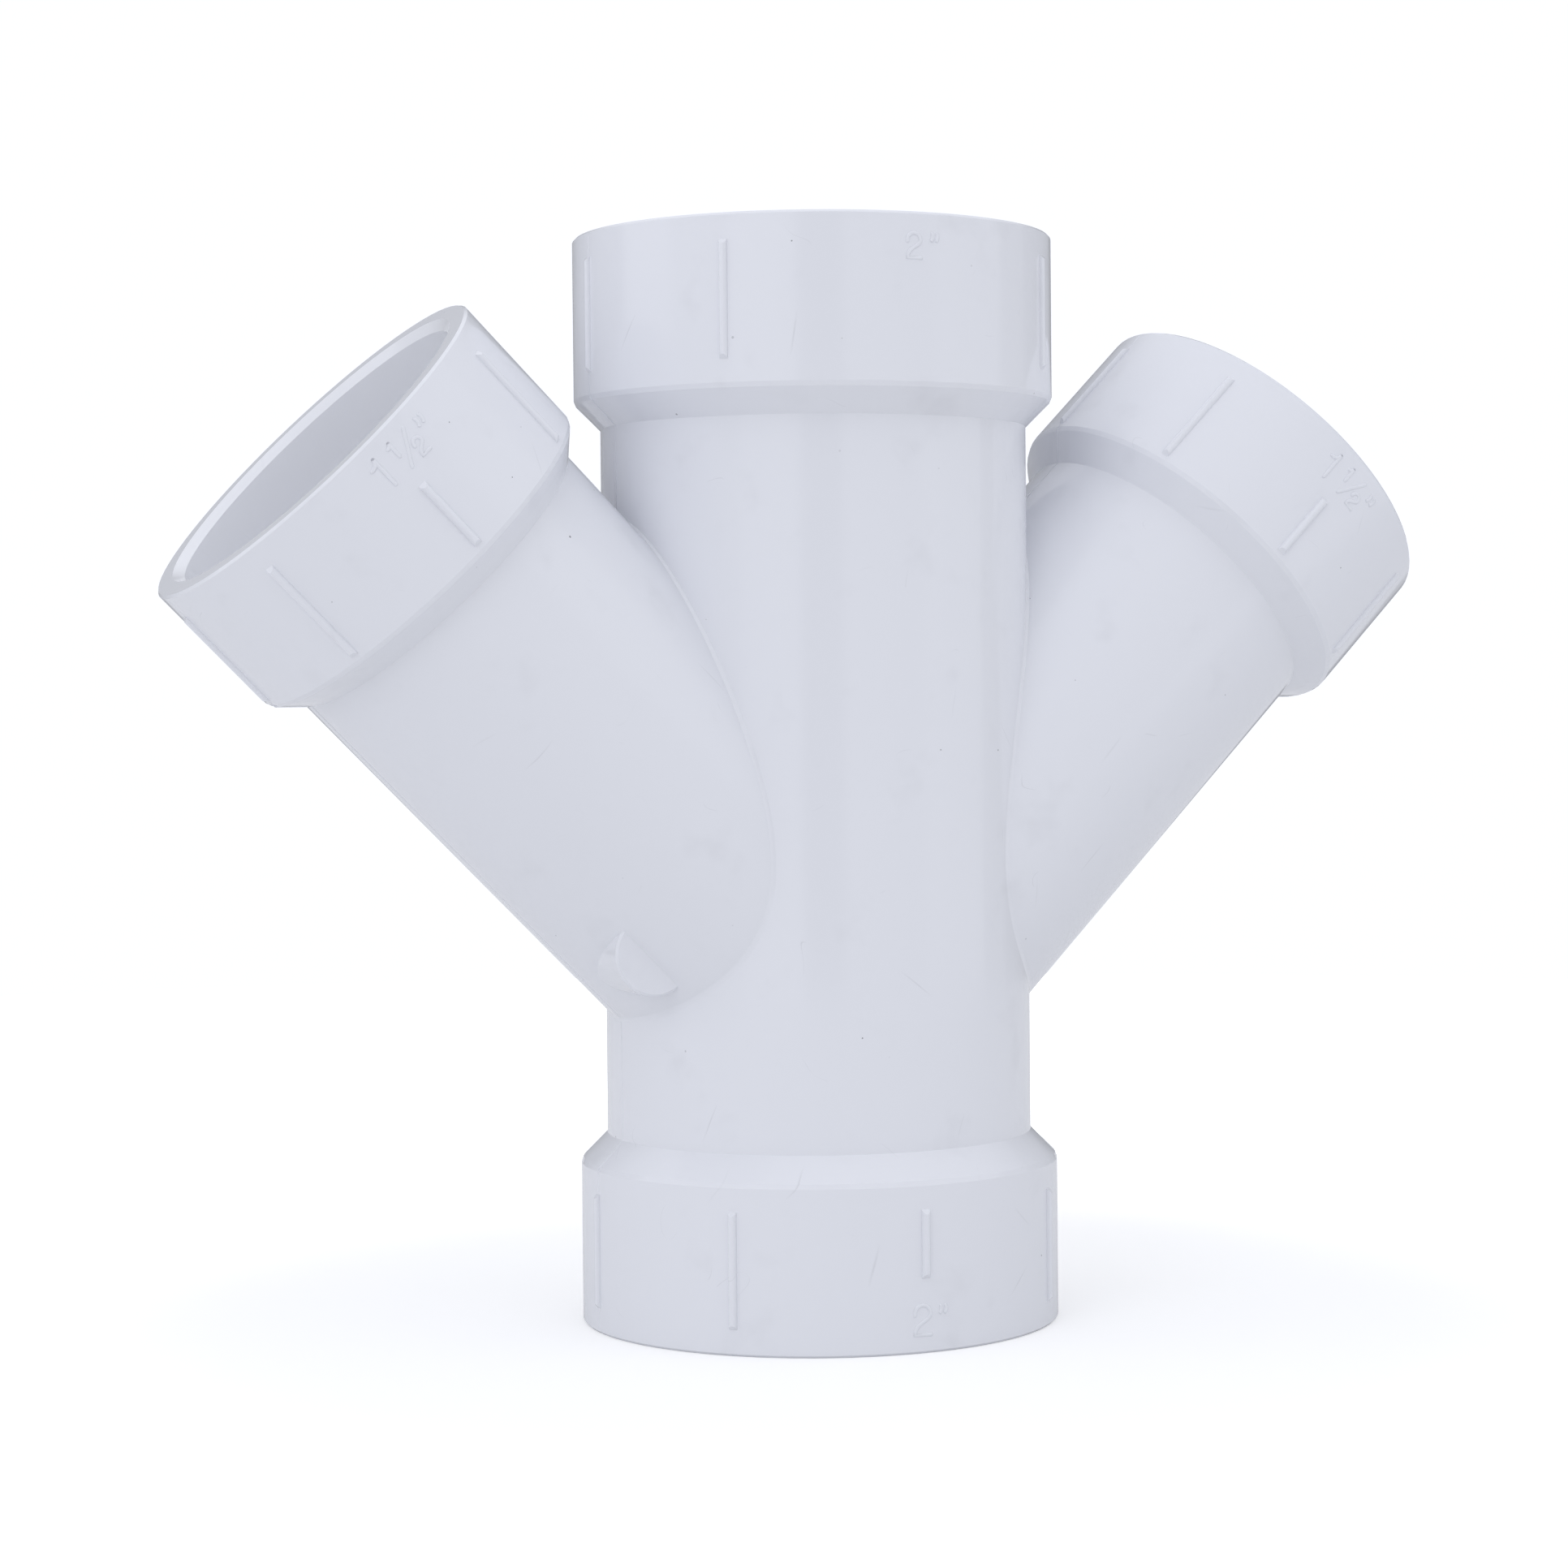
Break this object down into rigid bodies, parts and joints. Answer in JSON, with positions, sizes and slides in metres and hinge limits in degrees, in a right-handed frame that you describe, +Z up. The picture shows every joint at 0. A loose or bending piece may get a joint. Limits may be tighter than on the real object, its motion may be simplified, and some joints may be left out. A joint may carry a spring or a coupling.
{
  "type": "double wye fitting",
  "caption": "White one-piece plastic drain fitting: an upright run with smaller branches rising to either side at 45 degrees, and a pipe socket in each ribbed hub.",
  "frame": {"origin": "centre of the lower mouth, in the plane that the fitting stands on", "axes": "+Z up the run, +X towards the right branch, -Y the side with the size marks"},
  "size_m": [0.1882, 0.0694, 0.154],
  "materials": {
    "white_plastic": "rigid white plastic as moulded, semi-gloss, with faint scuffs and specks"
  },
  "bodies": {
    "root": {"double_wye": "white_plastic"}
  },
  "joints": []
}
